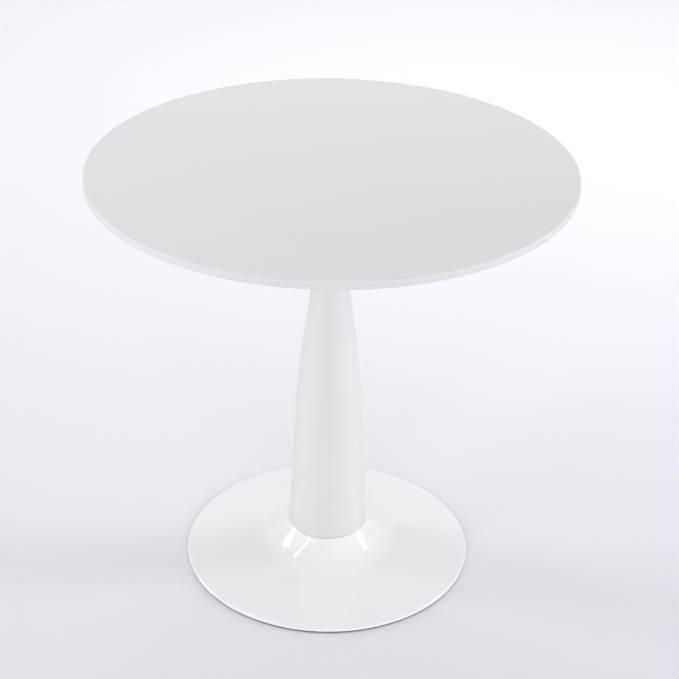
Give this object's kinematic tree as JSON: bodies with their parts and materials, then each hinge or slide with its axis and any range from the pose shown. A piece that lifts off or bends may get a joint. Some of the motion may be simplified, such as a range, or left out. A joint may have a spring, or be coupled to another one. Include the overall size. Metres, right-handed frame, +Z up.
{
  "type": "pedestal table",
  "caption": "Round table with a thin white top on a bottle-shaped column and a weighted trumpet foot, levelled by screw glides.",
  "frame": {"origin": "on the floor, under the centre of the table, with the glides at their rest setting", "axes": "+Z up along the column's axis; the glides lie between the X and Y axes"},
  "size_m": [0.7999, 0.8, 0.75],
  "materials": {
    "lacquered_board": "fibreboard with satin white lacquer",
    "satin_coating": "semi-matt white paint on spun metal",
    "gloss_coating": "gloss white lacquer on spun steel",
    "plate_coating": "light grey powder coat",
    "zinc_steel": "bright zinc plate",
    "brass": "turned brass",
    "dark_nylon": "black nylon",
    "grey_nylon": "grey nylon",
    "cast_iron": "cast, with black paint"
  },
  "bodies": {
    "table": {"tabletop": "lacquered_board", "threaded_inserts": "brass", "top_plate": "plate_coating", "plate_screws": "zinc_steel", "plate_washers": "zinc_steel", "top_hub": "zinc_steel", "neck_washer": "dark_nylon", "neck_bush": "dark_nylon", "column_shell": "satin_coating", "centring_disc": "zinc_steel", "seat_ring": "grey_nylon", "base_shell": "gloss_coating", "rim_edging": "dark_nylon", "tie_rod": "zinc_steel", "dowel_pins": "zinc_steel", "ballast": "cast_iron", "rod_washer": "zinc_steel", "rod_lock_washer": "zinc_steel", "rod_nut": "zinc_steel", "glide_bushes": "zinc_steel"},
    "pad_1": {"glide_pad_1": "dark_nylon"},
    "stud_1": {"glide_stud_1": "zinc_steel"},
    "pad_2": {"glide_pad_2": "dark_nylon"},
    "stud_2": {"glide_stud_2": "zinc_steel"},
    "pad_3": {"glide_pad_3": "dark_nylon"},
    "stud_3": {"glide_stud_3": "zinc_steel"},
    "pad_4": {"glide_pad_4": "dark_nylon"},
    "stud_4": {"glide_stud_4": "zinc_steel"}
  },
  "joints": [
    {"name": "glide_lift_1", "type": "slide", "parent": "table", "child": "pad_1", "axis": [0, 0, 1], "range_m": [-0.00375, 0.00125]},
    {"name": "glide_turn_1", "type": "hinge", "parent": "pad_1", "child": "stud_1", "pos_m": [0.12374, 0.12374, 0.005], "axis": [0, 0, 1], "range_deg": [-1080, 360]},
    {"name": "glide_lift_2", "type": "slide", "parent": "table", "child": "pad_2", "axis": [0, 0, 1], "range_m": [-0.00375, 0.00125]},
    {"name": "glide_turn_2", "type": "hinge", "parent": "pad_2", "child": "stud_2", "pos_m": [-0.12374, 0.12374, 0.005], "axis": [0, 0, 1], "range_deg": [-1080, 360]},
    {"name": "glide_lift_3", "type": "slide", "parent": "table", "child": "pad_3", "axis": [0, 0, 1], "range_m": [-0.00375, 0.00125]},
    {"name": "glide_turn_3", "type": "hinge", "parent": "pad_3", "child": "stud_3", "pos_m": [-0.12374, -0.12374, 0.005], "axis": [0, 0, 1], "range_deg": [-1080, 360]},
    {"name": "glide_lift_4", "type": "slide", "parent": "table", "child": "pad_4", "axis": [0, 0, 1], "range_m": [-0.00375, 0.00125]},
    {"name": "glide_turn_4", "type": "hinge", "parent": "pad_4", "child": "stud_4", "pos_m": [0.12374, -0.12374, 0.005], "axis": [0, 0, 1], "range_deg": [-1080, 360]}
  ],
  "couplings": [
    {"joint": "glide_lift_1", "follows": "glide_turn_1", "m_per_rad": 0.00019894},
    {"joint": "glide_lift_2", "follows": "glide_turn_2", "m_per_rad": 0.00019894},
    {"joint": "glide_lift_3", "follows": "glide_turn_3", "m_per_rad": 0.00019894},
    {"joint": "glide_lift_4", "follows": "glide_turn_4", "m_per_rad": 0.00019894}
  ]
}
